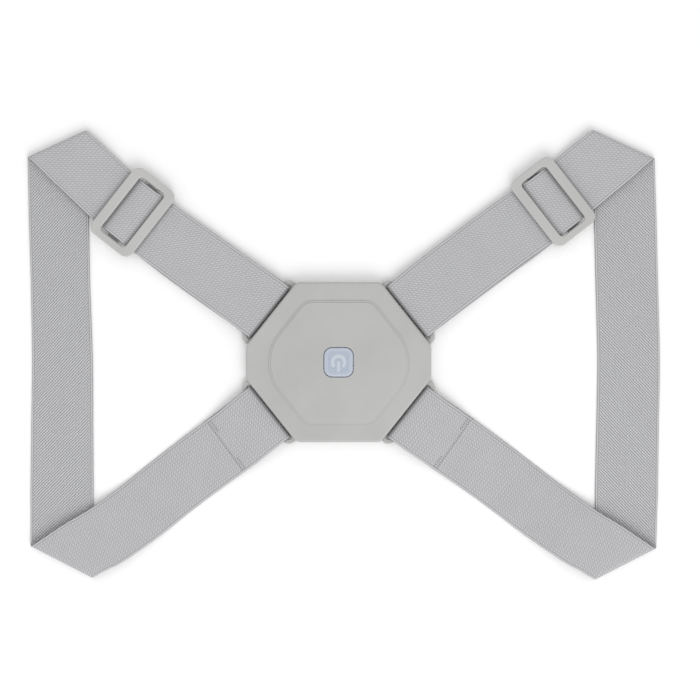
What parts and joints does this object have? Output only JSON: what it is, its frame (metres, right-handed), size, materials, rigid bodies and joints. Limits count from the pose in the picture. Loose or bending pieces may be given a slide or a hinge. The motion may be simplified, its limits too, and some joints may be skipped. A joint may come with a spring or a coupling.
{
  "type": "posture corrector",
  "caption": "Back posture corrector laid flat: slotted plastic housing with a round-cornered power button, and on each side an elastic webbing loop with a slide adjuster.",
  "frame": {"origin": "middle of the housing's flat back, on the surface the part lies on", "axes": "+X across the back to the right as seen from the front, +Y towards the shoulders, +Z away from the surface"},
  "size_m": [0.3948, 0.2803, 0.0115],
  "materials": {
    "shell": "fine satin texture",
    "key": "smooth, milky",
    "webbing": "woven elastic"
  },
  "bodies": {
    "corrector": {"back_shell": "shell", "front_shell": "shell", "strap_left": "webbing", "strap_right": "webbing", "slide_adjuster_left": "shell", "slide_adjuster_right": "shell"},
    "button": {"power_button": "key"}
  },
  "joints": [
    {"name": "button_press", "type": "slide", "parent": "corrector", "child": "button", "axis": [0, 0, -1], "range_m": [0, 0.0008], "stiffness_N_per_m": 600}
  ]
}
